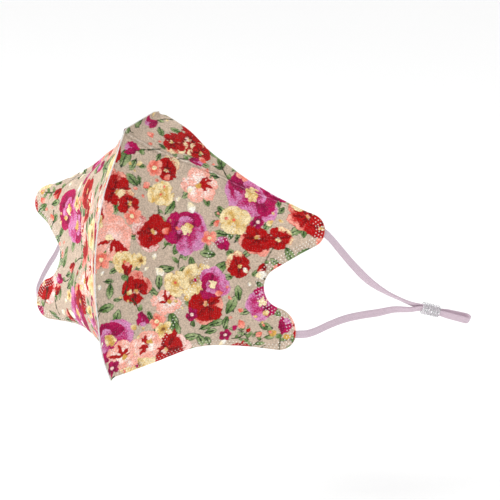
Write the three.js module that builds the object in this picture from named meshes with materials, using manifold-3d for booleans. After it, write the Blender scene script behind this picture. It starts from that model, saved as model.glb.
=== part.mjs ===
// Folding beak respirator mask: two mirrored cloth panels welded along a centre seam, each with an
// upper and a lower ear lobe, and on each side an elastic ear loop that passes through a ribbed
// silicone adjuster. Millimetres, +Z up, the mask's front faces -Y and the wearer's left is +X. The
// origin is where the face sits: halfway from the top of the nose to the chin, in the mirror plane.
import * as THREE from 'three';
import { mergeVertices } from 'three/addons/utils/BufferGeometryUtils.js';
import Module from 'manifold-3d';

const wasm = await Module();
wasm.setup();

// Driving dimensions, in millimetres.
const GAP = 0.3; // between pieces that touch
const WALL = 1.0; // the layered cloth
const FLANGE = 3.0; // width of the welded centre seam, outside the fold
const CREASE_STRIP = 5.0; // cloth between crease and top edge where the crease reaches the ear lobe
const BULGE = 4.0; // how far the middle of a panel stands out from its straight rulings
const BULGE_WAY = new THREE.Vector3(0.72, -0.69, 0);
const BAND = { width: 4.4, thick: 1.1, bevel: 0.3, steps: 64 };
// Sleeve with rounded ribs: `crest` is the stretch of a rib's pitch that stands at full radius.
const ADJUSTER = { length: 10.4, radius: 3.6, groove: 0.4, ribs: 6, crest: [0.3, 0.7], sides: 16 };
const LEAD = 0.5; // straight band beyond each end of the adjuster
// Folded end of a band, from its root to its tip: distance before the fold, and half of its opening
// in band layers.
const FOLD = [
  { before: 14, open: 1.9 },
  { before: 6, open: 2.5 },
  { before: 1.2, open: 2.3 },
];
const SLOT_ROLL = 38; // degrees from a slot that stands on edge; the upper run lies inward and on top
const TAIL_ROLL = 24; // the same for the folded end of the band
const OVERCUT = 1; // a cut runs this far past the solid's ends

// Grid of a panel: cells along a ruling, up the side and across the nose facet.
const CELLS = { along: 20, side: 34, facet: 4 };

// Centre seam's fold line in the mirror plane, from the chin up to the tip of the beak.
const SEAM = [
  { back: -27.5, up: -70 },
  { back: -36, up: -54 },
  { back: -40, up: -36 },
  { back: -43, up: -12 },
  { back: -40.5, up: 12 },
  { back: -32.5, up: 34 },
  { back: -20, up: 51 },
  { back: -10, up: 65 },
];
// From the beak's tip a straight ridge runs back to the nose bridge.
const NOSE = { back: 26.5, up: 70 };

// Rear outline of the left panel: straight runs joined by arcs of the given radius.
const REAR = [
  { out: 74, back: 27.2, up: -58, radius: 0 }, // end of the bottom edge
  { out: 88.5, back: 29, up: -59, radius: 11 }, // lower ear lobe
  { out: 82.5, back: 30.5, up: -36.5, radius: 13 },
  { out: 53, back: 17.5, up: -25, radius: 12 }, // notch
  { out: 83.5, back: 41, up: -4, radius: 20 }, // upper ear lobe
  { out: 109, back: 48, up: 11, radius: 9.5 },
  { out: 83, back: 47.5, up: 18, radius: 0 }, // end of the top edge
];
// Points between the seam and the rear outline on the three edges that cross the panel.
const BOTTOM_EDGE = [
  { out: 14, back: -6, up: -65 },
  { out: 35, back: 7.5, up: -56.5 },
  { out: 54, back: 20.8, up: -56.7 },
];
const CREASE = [
  { out: 12, back: 0, up: 55.5 },
  { out: 30, back: 19, up: 44 },
  { out: 54, back: 36.5, up: 28.5 },
];
const TOP_EDGE = [
  { out: 4.5, back: 28, up: 69.5 },
  { out: 17, back: 30.5, up: 61.5 },
  { out: 35, back: 35, up: 45.5 },
  { out: 63, back: 42.5, up: 27.5 },
];

// Ear loops. `upper` runs from the weld on the upper lobe to the adjuster and `lower` from the
// adjuster to the weld on the lower lobe; `twist` turns the band about its route, in degrees.
// `tail` is how far the folded end stands out behind the adjuster's middle.
const LOOPS = [
  {
    side: 'left',
    hand: 1,
    adjuster: { at: [130.9, 111.5, -47.3], axis: [11, 8, -3.8] },
    tail: 24,
    upper: [
      { out: 83.6, back: 45, up: 12.9, twist: -23 },
      { out: 89.7, back: 46.5, up: 9.2, twist: -24 },
      { out: 93.8, back: 48, up: 6.7, twist: -24 },
      { out: 95.8, back: 50.4, up: 3.8, twist: -12 },
      { out: 97.6, back: 57, up: -2.7, twist: 0 },
      { out: 101.5, back: 70, up: -15.9, twist: 5 },
      { out: 106, back: 82, up: -27.1, twist: 42 },
      { out: 111.6, back: 92, up: -34.9, twist: 65 },
      { out: 118.1, back: 100, up: -40.4, twist: 69 },
      { out: 121.6, back: 103.6, up: -42.8, twist: 60 },
    ],
    lower: [
      { out: 121.5, back: 104, up: -46.6, twist: -38 },
      { out: 113.6, back: 99, up: -46.4, twist: -22 },
      { out: 107.1, back: 91, up: -47.2, twist: 0 },
      { out: 101.7, back: 81, up: -47, twist: 0 },
      { out: 96.8, back: 70, up: -47.1, twist: 0 },
      { out: 93, back: 57, up: -48, twist: 0 },
      { out: 89.8, back: 44, up: -49.4, twist: 0 },
      { out: 87.8, back: 36.6, up: -49.4, twist: 0 },
      { out: 84.6, back: 32.3, up: -49, twist: -2 },
      { out: 80.5, back: 30.2, up: -49.1, twist: -6 },
      { out: 74.6, back: 27.4, up: -49.7, twist: -8 },
    ],
  },
  {
    side: 'right',
    hand: -1,
    adjuster: { at: [107.5, 118, -17], axis: [3, 12, -1] },
    tail: 36,
    upper: [
      { out: 83.6, back: 45, up: 12.9, twist: -23 },
      { out: 89.7, back: 46.5, up: 9.2, twist: -24 },
      { out: 93.4, back: 48, up: 6.9, twist: -24 },
      { out: 95.8, back: 52, up: 4.6, twist: -12 },
      { out: 97, back: 60, up: 1.5, twist: 0 },
      { out: 99, back: 70, up: -3, twist: 0 },
      { out: 101, back: 82, up: -8, twist: 20 },
      { out: 103, back: 94, up: -12.2, twist: 44 },
      { out: 104.8, back: 105, up: -14.6, twist: 56 },
    ],
    lower: [
      { out: 104.5, back: 104, up: -18.6, twist: -38 },
      { out: 101, back: 90, up: -20.8, twist: 0 },
      { out: 98, back: 78, up: -25.5, twist: 0 },
      { out: 95.5, back: 68, up: -30, twist: 0 },
      { out: 94.2, back: 58, up: -34.5, twist: 0 },
      { out: 92.6, back: 47, up: -40.5, twist: 0 },
      { out: 90.4, back: 38.6, up: -45.2, twist: 0 },
      { out: 87.6, back: 34.6, up: -47.8, twist: 0 },
      { out: 84.5, back: 32.3, up: -48.9, twist: -2 },
      { out: 80.5, back: 30.2, up: -49.1, twist: -6 },
      { out: 74.6, back: 27.4, up: -49.7, twist: -8 },
    ],
  },
];

const COLOURS = {
  cloth: new THREE.MeshStandardMaterial({ color: 0xcfc0b2, roughness: 0.92, metalness: 0 }),
  elastic: new THREE.MeshStandardMaterial({ color: 0xd9c3d4, roughness: 0.85, metalness: 0 }),
  silicone: new THREE.MeshStandardMaterial({ color: 0xe9eaee, roughness: 0.25, metalness: 0 }),
};

const toVector = ({ out = GAP / 2 + WALL, back, up }) => new THREE.Vector3(out, back, up);

// `count` equal steps along a smooth curve through the points.
function smoothEdge(points, count) {
  return new THREE.CatmullRomCurve3(points).getSpacedPoints(count);
}

// Straight runs between the corners, with each corner rounded to its radius by a Bezier arc.
function roundedRoute(corners) {
  const route = new THREE.CurvePath();
  let from = toVector(corners[0]);
  for (let k = 1; k < corners.length - 1; k += 1) {
    const corner = toVector(corners[k]);
    const before = toVector(corners[k - 1]).sub(corner).normalize();
    const after = toVector(corners[k + 1]).sub(corner).normalize();
    const turn = Math.PI - before.angleTo(after);
    const cut = corners[k].radius * Math.tan(turn / 2);
    const handle = (4 / 3) * Math.tan(turn / 4) * corners[k].radius;
    const start = corner.clone().addScaledVector(before, cut);
    const end = corner.clone().addScaledVector(after, cut);
    route.add(new THREE.LineCurve3(from, start));
    route.add(
      new THREE.CubicBezierCurve3(
        start,
        start.clone().addScaledVector(before, -handle),
        end.clone().addScaledVector(after, -handle),
        end,
      ),
    );
    from = end;
  }
  route.add(new THREE.LineCurve3(from, toVector(corners.at(-1))));
  return route;
}

// `count` equal steps along the stretch of a route between two shares of its length.
function stretch(route, from, to, count) {
  const points = [];
  for (let k = 0; k <= count; k += 1) points.push(route.getPointAt(from + ((to - from) * k) / count));
  return points;
}

// Coons patch: rows of points filling the space between four edges that meet at their corners.
function coonsPatch(low, high, left, right) {
  const last = low.length - 1;
  const top = left.length - 1;
  return left.map((leftPoint, row) => {
    const v = row / top;
    return low.map((lowPoint, column) => {
      const u = column / last;
      return new THREE.Vector3()
        .addScaledVector(lowPoint, 1 - v)
        .addScaledVector(high[column], v)
        .addScaledVector(leftPoint, 1 - u)
        .addScaledVector(right[row], u)
        .addScaledVector(low[0], -(1 - u) * (1 - v))
        .addScaledVector(low[last], -u * (1 - v))
        .addScaledVector(high[0], -(1 - u) * v)
        .addScaledVector(high[last], -u * v);
    });
  });
}

// Outer face of the left panel as rows of points, from the bottom edge up the side, over the crease
// and across the nose facet to the top edge. Each row starts at the fold of the centre seam.
function panelRows() {
  const seam = smoothEdge(SEAM.map(toVector), CELLS.side);
  const nose = toVector(NOSE);
  const rear = roundedRoute(REAR);
  const creaseEnd = 1 - CREASE_STRIP / rear.getLength();
  const sideRear = stretch(rear, 0, creaseEnd, CELLS.side);
  const facetRear = stretch(rear, creaseEnd, 1, CELLS.facet);
  const across = (start, table, end) => smoothEdge([start, ...table.map(toVector), end], CELLS.along);
  const bottom = across(seam[0], BOTTOM_EDGE, sideRear[0]);
  const crease = across(seam.at(-1), CREASE, facetRear[0]);
  const top = across(nose, TOP_EDGE, facetRear.at(-1));
  const ridge = stretch(new THREE.LineCurve3(seam.at(-1), nose), 0, 1, CELLS.facet);
  const side = coonsPatch(bottom, crease, seam, sideRear);
  side.forEach((row, r) => {
    const v = r / CELLS.side;
    row.forEach((point, c) => {
      const u = c / CELLS.along;
      point.addScaledVector(BULGE_WAY, BULGE * 16 * u * (1 - u) * v * (1 - v));
    });
  });
  return [...side, ...coonsPatch(crease, top, ridge, facetRear).slice(1)];
}

// Cut edge of the seam beside a fold line: every point moves FLANGE outwards in the mirror plane,
// further at a bend so that the flange keeps its width.
function cutEdge(fold) {
  const outward = (a, b) => new THREE.Vector3(0, a.z - b.z, b.y - a.y).normalize();
  return fold.map((point, k) => {
    const before = outward(fold[Math.max(k - 1, 0)], fold[Math.max(k, 1)]);
    const after = outward(fold[Math.min(k, fold.length - 2)], fold[Math.min(k + 1, fold.length - 1)]);
    const middle = before.clone().add(after).normalize();
    return point.clone().addScaledVector(middle, FLANGE / middle.dot(after));
  });
}

// Closed wall from rows of points on its outer face. The flange and the fold, columns 0 and 1, are
// pressed flat against the mirror plane, and the rest is WALL thick along the face's normals.
function wall(rows) {
  const columns = rows[0].length;
  const cells = [];
  for (let r = 0; r < rows.length - 1; r += 1) {
    for (let c = 0; c < columns - 1; c += 1) {
      const [a, b] = [r * columns + c, r * columns + c + 1];
      const [d, e] = [a + columns, b + columns];
      if (r < rows.length / 2) cells.push(a, b, d, b, e, d);
      else cells.push(a, b, e, a, e, d);
    }
  }
  const outer = new THREE.BufferGeometry().setFromPoints(rows.flat());
  outer.setIndex(cells);
  outer.computeVertexNormals();
  const count = outer.attributes.position.count;
  const points = rows.flat();
  const inner = points.map((point, k) => {
    if (k % columns < 2) return new THREE.Vector3(GAP / 2, point.y, point.z);
    const normal = new THREE.Vector3().fromBufferAttribute(outer.attributes.normal, k);
    return point.clone().addScaledVector(normal, -WALL);
  });
  const faces = [...cells];
  for (let k = 0; k < cells.length; k += 3) {
    faces.push(cells[k] + count, cells[k + 2] + count, cells[k + 1] + count);
  }
  const rim = [];
  const lastRow = (rows.length - 1) * columns;
  for (let c = 0; c < columns - 1; c += 1) rim.push(c);
  for (let r = 0; r < rows.length - 1; r += 1) rim.push(r * columns + columns - 1);
  for (let c = columns - 1; c > 0; c -= 1) rim.push(lastRow + c);
  for (let r = rows.length - 1; r > 0; r -= 1) rim.push(r * columns);
  rim.forEach((from, k) => {
    const to = rim[(k + 1) % rim.length];
    faces.push(from, from + count, to, to, from + count, to + count);
  });
  const solid = new THREE.BufferGeometry().setFromPoints([...points, ...inner]);
  solid.setIndex(faces);
  return solid;
}

// The same solid on the other side of the mirror plane, with its faces turned to point out again.
function mirrored(geometry) {
  const copy = geometry.clone().scale(-1, 1, 1);
  const index = copy.index.array;
  for (let k = 0; k < index.length; k += 3) [index[k + 1], index[k + 2]] = [index[k + 2], index[k + 1]];
  return copy;
}

// Upright direction square to an axis, turned about that axis by an angle in degrees.
function turnedWidth(axis, twist) {
  const upright = new THREE.Vector3(0, 0, 1).projectOnPlane(axis).normalize();
  return upright.applyAxisAngle(axis, THREE.MathUtils.degToRad(twist));
}

// Route of a flat band through its rows. Each row gives the way of the band's width, or the angle in
// degrees by which the width is turned about the route from as upright as it can be.
class BandRoute extends THREE.CatmullRomCurve3 {
  constructor(rows) {
    super(rows.map((row) => row.point));
    this.widths = rows.map(({ width, twist }, k) => {
      if (width) return width;
      const tangent = this.getTangent(k / (rows.length - 1));
      return turnedWidth(tangent, twist);
    });
  }

  getSpacedPoints(steps) {
    return this.getPoints(steps);
  }

  computeFrenetFrames(steps) {
    const frames = { tangents: [], normals: [], binormals: [] };
    for (let k = 0; k <= steps; k += 1) {
      const place = (k / steps) * (this.widths.length - 1);
      const row = Math.min(Math.floor(place), this.widths.length - 2);
      const tangent = this.getTangent(k / steps);
      const width = this.widths[row].clone().lerp(this.widths[row + 1], place - row);
      width.projectOnPlane(tangent).normalize();
      frames.tangents.push(tangent);
      frames.normals.push(new THREE.Vector3().crossVectors(width, tangent));
      frames.binormals.push(width);
    }
    return frames;
  }
}

// Section of the band, eight-sided: x across its thickness and y across its width.
function bandSection() {
  const x = BAND.thick / 2;
  const y = BAND.width / 2;
  const corners = [
    [x, BAND.bevel - y],
    [x, y - BAND.bevel],
    [x - BAND.bevel, y],
    [BAND.bevel - x, y],
    [-x, y - BAND.bevel],
    [-x, BAND.bevel - y],
    [BAND.bevel - x, -y],
    [x - BAND.bevel, -y],
  ];
  return new THREE.Shape(corners.map(([px, py]) => new THREE.Vector2(px, py)));
}

// The adjuster's own frame: its middle, its axis away from the mask, the way of its slot's width, and
// the way in which the slot's two band layers lie over each other.
function adjusterFrame({ hand, adjuster }) {
  const at = new THREE.Vector3(...adjuster.at).multiply(new THREE.Vector3(hand, 1, 1));
  const axis = new THREE.Vector3(...adjuster.axis).multiply(new THREE.Vector3(hand, 1, 1)).normalize();
  const width = turnedWidth(axis, SLOT_ROLL * hand);
  return { at, axis, width, across: new THREE.Vector3().crossVectors(width, axis) };
}

// One band from lobe to lobe: upper run, through the adjuster, folded tail, back and lower run.
function earLoop(loop) {
  const { at, axis } = adjusterFrame(loop);
  const layer = ((BAND.thick + GAP) / 2) * loop.hand;
  const lead = ADJUSTER.length / 2 + LEAD;
  const inFrame = (along, side, roll = SLOT_ROLL) => {
    const width = turnedWidth(axis, roll * loop.hand);
    const across = new THREE.Vector3().crossVectors(width, axis);
    const point = at.clone().addScaledVector(axis, along).addScaledVector(across, side * layer);
    return { point, width };
  };
  const run = (table) =>
    table.map(({ out, back, up, twist }) => ({
      point: new THREE.Vector3(out * loop.hand, back, up),
      twist: twist * loop.hand,
    }));
  const route = new BandRoute([
    ...run(loop.upper),
    ...[-lead, 0, lead].map((along) => inFrame(along, 1)),
    ...FOLD.map(({ before, open }) => inFrame(loop.tail - before, open, TAIL_ROLL)),
    inFrame(loop.tail, 0, TAIL_ROLL),
    ...FOLD.toReversed().map(({ before, open }) => inFrame(loop.tail - before, -open, TAIL_ROLL)),
    ...[lead, 0, -lead].map((along) => inFrame(along, -1)),
    ...run(loop.lower),
  ]);
  return new THREE.ExtrudeGeometry(bandSection(), {
    steps: BAND.steps,
    bevelEnabled: false,
    extrudePath: route,
  });
}

const toManifold = (geometry) => {
  const bare = geometry.clone();
  bare.deleteAttribute('normal');
  bare.deleteAttribute('uv');
  const merged = mergeVertices(bare, 1e-4);
  return new wasm.Manifold(
    new wasm.Mesh({
      numProp: 3,
      vertProperties: new Float32Array(merged.attributes.position.array),
      triVerts: new Uint32Array(merged.index.array),
    }),
  );
};

const toGeometry = (solid) => {
  const { vertProperties, triVerts } = solid.getMesh();
  const geometry = new THREE.BufferGeometry();
  geometry.setAttribute('position', new THREE.BufferAttribute(vertProperties, 3));
  geometry.setIndex(new THREE.BufferAttribute(triVerts, 1));
  return geometry;
};

// Ribbed sleeve along Z, turned from its profile, with a flat slot for two layers of the band.
function sleeve() {
  const pitch = ADJUSTER.length / ADJUSTER.ribs;
  const profile = [new THREE.Vector2(0, -ADJUSTER.length / 2)];
  for (let rib = 0; rib < ADJUSTER.ribs; rib += 1) {
    const low = -ADJUSTER.length / 2 + rib * pitch;
    profile.push(new THREE.Vector2(ADJUSTER.radius - ADJUSTER.groove, low));
    for (const share of ADJUSTER.crest) {
      profile.push(new THREE.Vector2(ADJUSTER.radius, low + share * pitch));
    }
  }
  profile.push(new THREE.Vector2(ADJUSTER.radius - ADJUSTER.groove, ADJUSTER.length / 2));
  profile.push(new THREE.Vector2(0, ADJUSTER.length / 2));
  const body = new THREE.LatheGeometry(profile, ADJUSTER.sides).rotateX(Math.PI / 2);
  const x = GAP / 2 + BAND.thick + GAP;
  const y = BAND.width / 2 + GAP;
  const slot = new THREE.Shape([
    new THREE.Vector2(-x, -y),
    new THREE.Vector2(x, -y),
    new THREE.Vector2(x, y),
    new THREE.Vector2(-x, y),
  ]);
  const depth = ADJUSTER.length + 2 * OVERCUT;
  const bore = new THREE.ExtrudeGeometry(slot, { depth, bevelEnabled: false });
  bore.translate(0, 0, -depth / 2);
  return toGeometry(toManifold(body).subtract(toManifold(bore)));
}

function piece(name, geometry, material) {
  const mesh = new THREE.Mesh(geometry, material);
  mesh.name = name;
  return mesh;
}

const mask = new THREE.Group();

const rows = panelRows();
const cut = cutEdge(rows.map((row) => row[0]));
const leftPanel = wall(rows.map((row, r) => [cut[r], ...row]));
mask.add(piece('left_panel', leftPanel, COLOURS.cloth));
mask.add(piece('right_panel', mirrored(leftPanel), COLOURS.cloth));

const sleeveShape = sleeve();
for (const loop of LOOPS) {
  mask.add(piece(`${loop.side}_ear_loop`, earLoop(loop), COLOURS.elastic));
  const adjuster = piece(`${loop.side}_adjuster`, sleeveShape, COLOURS.silicone);
  const { at, axis, width, across } = adjusterFrame(loop);
  adjuster.position.copy(at);
  adjuster.quaternion.setFromRotationMatrix(new THREE.Matrix4().makeBasis(across, width, axis));
  mask.add(adjuster);
}

export default mask;
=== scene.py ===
import math

import bpy
import numpy as np
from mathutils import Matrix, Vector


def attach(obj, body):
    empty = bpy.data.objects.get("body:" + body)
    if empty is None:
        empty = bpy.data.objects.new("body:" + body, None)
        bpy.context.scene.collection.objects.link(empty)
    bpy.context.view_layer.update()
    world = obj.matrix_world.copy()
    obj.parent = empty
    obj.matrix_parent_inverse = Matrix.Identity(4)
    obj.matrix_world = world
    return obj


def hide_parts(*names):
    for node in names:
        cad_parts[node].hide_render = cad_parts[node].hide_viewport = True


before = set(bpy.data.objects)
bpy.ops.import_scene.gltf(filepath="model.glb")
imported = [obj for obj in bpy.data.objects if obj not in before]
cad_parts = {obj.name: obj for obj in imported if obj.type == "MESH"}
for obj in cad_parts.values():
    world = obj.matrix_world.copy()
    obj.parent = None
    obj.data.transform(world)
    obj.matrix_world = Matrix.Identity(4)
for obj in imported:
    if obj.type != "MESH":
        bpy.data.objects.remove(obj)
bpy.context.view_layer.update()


# --- Camera ---
# A long lens, 1.5 m from the mask, a little above it and 30 degrees round to the wearer's left.
azimuth, elevation, distance = math.radians(30), math.radians(13), 1.5
level = math.cos(elevation)
back = np.array([math.sin(azimuth) * level, -math.cos(azimuth) * level, math.sin(elevation)])
right = np.array([math.cos(azimuth), math.sin(azimuth), 0])
up = np.cross(back, right)
scene = bpy.context.scene


def in_scene(name, data):
    """A new object in the scene with its mesh, lamp or camera."""
    thing = bpy.data.objects.new(name, data)
    scene.collection.objects.link(thing)
    return thing


camera = in_scene("camera", bpy.data.cameras.new("camera"))
scene.camera = camera
camera.data.lens = 192.9
camera.location = back * distance
aim = right * 0.0635 - up * 0.0035  # the middle of the view, from the origin
camera.rotation_mode = "QUATERNION"
camera.rotation_quaternion = Vector(aim - back * distance).to_track_quat("-Z", "Y")


# --- Ear loops ---
# Flat knitted elastic, 4.4 mm wide, one band on each side. Both ends are welded to the inside of
# the ear lobes. The band passes through its adjuster doubled, so a folded tail stands out behind.
MM = 0.001  # the sizes of the mask below are in millimetres, where nothing else is said
BAND = {"width": 4.4, "thick": 1.1, "gap": 0.3}
ADJUSTER = {"length": 10.4, "radius": 3.6, "groove": 0.55, "ribs": 6, "side_play": 0.12, "end_play": 0.15}
LEAD = 0.5  # straight run of the band past each end of its adjuster
SLOT_ROLL = 38  # degrees from a slot that stands on edge; the upper run lies inward and on top
TAIL_ROLL = 24  # the same for the folded end of the band
# Folded end of the band: distance before the fold, and how far apart the two layers are there, as
# a multiple of their distance in the adjuster.
FOLD = [(14, 1.9), (6, 2.5), (1.2, 2.3)]
# Rows are out, back, up and twist in degrees, from the weld on the upper lobe to the adjuster, and
# on to the weld on the lower lobe. Both loops leave their lobes alike.
UPPER_WELD = [(83.6, 45, 12.9, -23), (89.7, 46.5, 9.2, -24)]
LOWER_WELD = [(80.5, 30.2, -49.1, -6), (74.6, 27.4, -49.7, -8)]
LEFT_UPPER = [(93.8, 48, 6.7, -24), (95.8, 50.4, 3.8, -12), (97.6, 57, -2.7, 0), (101.5, 70, -15.9, 5)]
LEFT_UPPER += [(106, 82, -27.1, 42), (111.6, 92, -34.9, 65), (118.1, 100, -40.4, 69)]
LEFT_UPPER += [(121.6, 103.6, -42.8, 60)]
LEFT_LOWER = [(121.5, 104, -46.6, -38), (113.6, 99, -46.4, -22), (107.1, 91, -47.2, 0)]
LEFT_LOWER += [(101.7, 81, -47, 0), (96.8, 70, -47.1, 0), (93, 57, -48, 0), (89.8, 44, -49.4, 0)]
LEFT_LOWER += [(87.8, 36.6, -49.4, 0), (84.6, 32.3, -49, -2)]
RIGHT_UPPER = [(93.4, 48, 6.9, -24), (95.8, 52, 4.6, -12), (97, 60, 1.5, 0), (99, 70, -3, 0)]
RIGHT_UPPER += [(101, 82, -8, 20), (103, 94, -12.2, 44), (104.8, 105, -14.6, 56)]
RIGHT_LOWER = [(104.5, 104, -18.6, -38), (101, 90, -20.8, 0), (98, 78, -25.5, 0), (95.5, 68, -30, 0)]
RIGHT_LOWER += [(94.2, 58, -34.5, 0), (92.6, 47, -40.5, 0), (90.4, 38.6, -45.2, 0)]
RIGHT_LOWER += [(87.6, 34.6, -47.8, 0), (84.5, 32.3, -48.9, -2)]
# The adjuster is given by its middle and its axis, the tail by the distance of its fold from there.
# The hand, 1 on the left and -1 on the right, mirrors all of them.
LOOPS = [
    {
        "side": "left",
        "hand": 1,
        "adjuster": ((130.9, 111.5, -47.3), (11, 8, -3.8)),
        "tail": 24,
        "runs": (UPPER_WELD + LEFT_UPPER, LEFT_LOWER + LOWER_WELD),
    },
    {
        "side": "right",
        "hand": -1,
        "adjuster": ((107.5, 118, -17), (3, 12, -1)),
        "tail": 36,
        "runs": (UPPER_WELD + RIGHT_UPPER, RIGHT_LOWER + LOWER_WELD),
    },
]


def smooth_line(points, count, carried=None):
    """Centripetal Catmull-Rom curve: a cubic of 100 steps between each two points, whose slopes come
    from the neighbours, weighed by the square roots of their distances; `count` equal steps by
    length. Values carried by the points are blended in a straight line and returned too."""
    p = np.asarray(points, float)
    p = np.vstack([2 * p[0] - p[1], p, 2 * p[-1] - p[-2]])
    t = np.linspace(0, 1, 101)[:, None]
    runs = []
    for p0, p1, p2, p3 in zip(p, p[1:], p[2:], p[3:]):
        d0, d1, d2 = (max(np.linalg.norm(b - a) ** 0.5, 1e-4) for a, b in ((p0, p1), (p1, p2), (p2, p3)))
        m1 = ((p1 - p0) / d0 - (p2 - p0) / (d0 + d1) + (p2 - p1) / d1) * d1
        m2 = ((p2 - p1) / d1 - (p3 - p1) / (d1 + d2) + (p3 - p2) / d2) * d1
        square = (3 * (p2 - p1) - 2 * m1 - m2) * t**2
        cube = (2 * (p1 - p2) + m1 + m2) * t**3
        runs.append((p1 + m1 * t + square + cube)[:-1])
    runs.append(p[-2:-1])
    if carried is None:
        return even_steps(np.vstack(runs), count)
    blends = [a + (b - a) * t[:-1] for a, b in zip(carried, carried[1:])] + [carried[-1:]]
    both = even_steps(np.hstack([np.vstack(runs), np.vstack(blends)]), count)
    return both[:, :3], both[:, 3:]


def even_steps(line, count):
    """The same line at `count` + 1 points, equally far apart along its length in space."""
    at = np.r_[0, np.cumsum(np.linalg.norm(np.diff(line[:, :3], axis=0), axis=1))]
    to = np.linspace(0, at[-1], count + 1)
    return np.stack([np.interp(to, at, axis) for axis in line.T], axis=-1)


def unit(vectors):
    """Each vector divided by its length."""
    return vectors / np.linalg.norm(vectors, axis=-1, keepdims=True)


def round_circle(count):
    """Angles evenly round a circle."""
    return np.linspace(0, 2 * math.pi, count, endpoint=False)


def grid_quads(rows, columns, closed=False, first=0):
    """Quads of a grid whose vertex number is row * columns + column, wrapped round if closed."""
    across = columns if closed else columns - 1
    r, c = np.meshgrid(np.arange(rows - 1), np.arange(across), indexing="ij")
    d = (c + 1) % columns
    quads = [r * columns + c, r * columns + d, (r + 1) * columns + d, (r + 1) * columns + c]
    return np.stack(quads, axis=-1).reshape(-1, 4) + first


def fan(pole, first, sides):
    """Triangles from a pole to each side of a ring, given the vertex number of its first corner."""
    here = np.arange(sides)
    return np.stack([np.full(sides, pole), first + here, first + (here + 1) % sides], axis=-1)


def make_piece(name, points, quads, triangles=()):
    """A smooth-shaded mesh object at the origin from points in metres and its faces."""
    mesh = bpy.data.meshes.new(name)
    mesh.from_pydata(points.tolist(), [], quads.tolist() + np.asarray(triangles, int).tolist())
    mesh.polygons.foreach_set("use_smooth", np.ones(len(mesh.polygons), bool))
    mesh.update()
    return in_scene(name, mesh)


def turned_width(axis, twist):
    """Upright direction square to each axis, turned about that axis by its angle in degrees."""
    upright = unit(np.array([0, 0, 1.0]) - axis * axis[..., 2:])
    turn = np.radians(twist)[..., None]
    return upright * np.cos(turn) + np.cross(axis, upright) * np.sin(turn)


def adjuster_frame(loop):
    """Middle of the adjuster, its axis, the way of its slot's width, and the way across its layers."""
    at, axis = (np.array(v, float) * (loop["hand"], 1, 1) for v in loop["adjuster"])
    axis = unit(axis)
    width = turned_width(axis, np.array(SLOT_ROLL * loop["hand"]))
    return at, axis, width, np.cross(width, axis)


def band_rows(loop):
    """Points of a band's route, lobe to lobe, in millimetres, and the way of its width at each."""
    at, axis, _, _ = adjuster_frame(loop)
    layer = (BAND["thick"] + BAND["gap"]) / 2 * loop["hand"]
    lead = ADJUSTER["length"] / 2 + LEAD
    tail = loop["tail"]
    inside = [(along, 1, SLOT_ROLL) for along in (-lead, 0, lead)]
    inside += [(tail - before, opening, TAIL_ROLL) for before, opening in FOLD]
    inside += [(tail, 0, TAIL_ROLL)]
    inside += [(tail - before, -opening, TAIL_ROLL) for before, opening in FOLD[::-1]]
    inside += [(along, -1, SLOT_ROLL) for along in (lead, 0, -lead)]
    along, side, roll = np.array(inside).T
    width = turned_width(axis[None], roll * loop["hand"])
    folded = at + axis * along[:, None] + np.cross(width, axis) * side[:, None] * layer
    upper, lower = (np.array(run) * (loop["hand"], 1, 1, loop["hand"]) for run in loop["runs"])
    points = np.vstack([upper[:, :3], folded, lower[:, :3]])
    twists = np.r_[upper[:, 3], np.zeros(len(folded)), lower[:, 3]]
    widths = turned_width(unit(np.gradient(points, axis=0)), twists)
    widths[len(upper) : len(upper) + len(folded)] = width
    return points, widths


def signed_power(x, power):
    """The size of x to a power, with the sign of x."""
    return np.sign(x) * np.abs(x) ** power


def flat_band(line, width, columns=32):
    """A section whose sides are the sine to the power 0.8 times half the width and the cosine to the
    power 0.6 times half the thickness, carried along a line with its width kept square to it."""
    tangent = unit(np.gradient(line, axis=0))
    width = unit(width - tangent * np.sum(width * tangent, axis=1, keepdims=True))
    normal = np.cross(width, tangent)
    angle = round_circle(columns)
    flat = signed_power(np.sin(angle), 0.8) * BAND["width"] / 2
    high = signed_power(np.cos(angle), 0.6) * BAND["thick"] / 2
    return line[:, None] + width[:, None] * flat[None, :, None] + normal[:, None] * high[None, :, None]


def node_material(name, sockets):
    """A new material, its node tree, and its Principled shader with these values on its sockets."""
    material = bpy.data.materials.new(name)
    material.use_nodes = True
    shader = material.node_tree.nodes["Principled BSDF"]
    for key, value in sockets.items():
        shader.inputs[key].default_value = value
    return material, material.node_tree, shader


def add_node(tree, kind, inputs=(), **settings):
    """A shader node with its settings, and its inputs set to values or linked to sockets."""
    node = tree.nodes.new(kind)
    for key, value in settings.items():
        setattr(node, key, value)
    for key, value in dict(inputs).items():
        if isinstance(value, bpy.types.NodeSocket):
            tree.links.new(value, node.inputs[key])
        else:
            node.inputs[key].default_value = value
    return node


def calculate(operation, socket, *others):
    """The output of a Math node in a socket's tree, fed with it and other sockets or numbers."""
    values = enumerate((socket, *others))
    return add_node(socket.id_data, "ShaderNodeMath", values, operation=operation).outputs[0]


def blend(tree, share, first, second, way="MIX"):
    """The output of a colour mix: the first colour at share 0, and at share 1 the second, or the two
    multiplied if the way is MULTIPLY."""
    colours = {0: share, 6: first, 7: second}
    return add_node(tree, "ShaderNodeMix", colours, data_type="RGBA", blend_type=way).outputs[2]


def noise(tree, place, scale, detail=2.0, roughness=0.5):
    """The grey of a noise over a place, with so many waves to its unit."""
    inputs = {"Vector": place, "Scale": scale, "Detail": detail, "Roughness": roughness}
    return add_node(tree, "ShaderNodeTexNoise", inputs).outputs["Fac"]


def add_bump(tree, shader, height, strength):
    """Fine relief from a socket of heights, a fifth of a millimetre deep at strength 1."""
    bump = add_node(tree, "ShaderNodeBump", {"Height": height, "Strength": strength, "Distance": 0.0002})
    tree.links.new(bump.outputs["Normal"], shader.inputs["Normal"])


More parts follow.
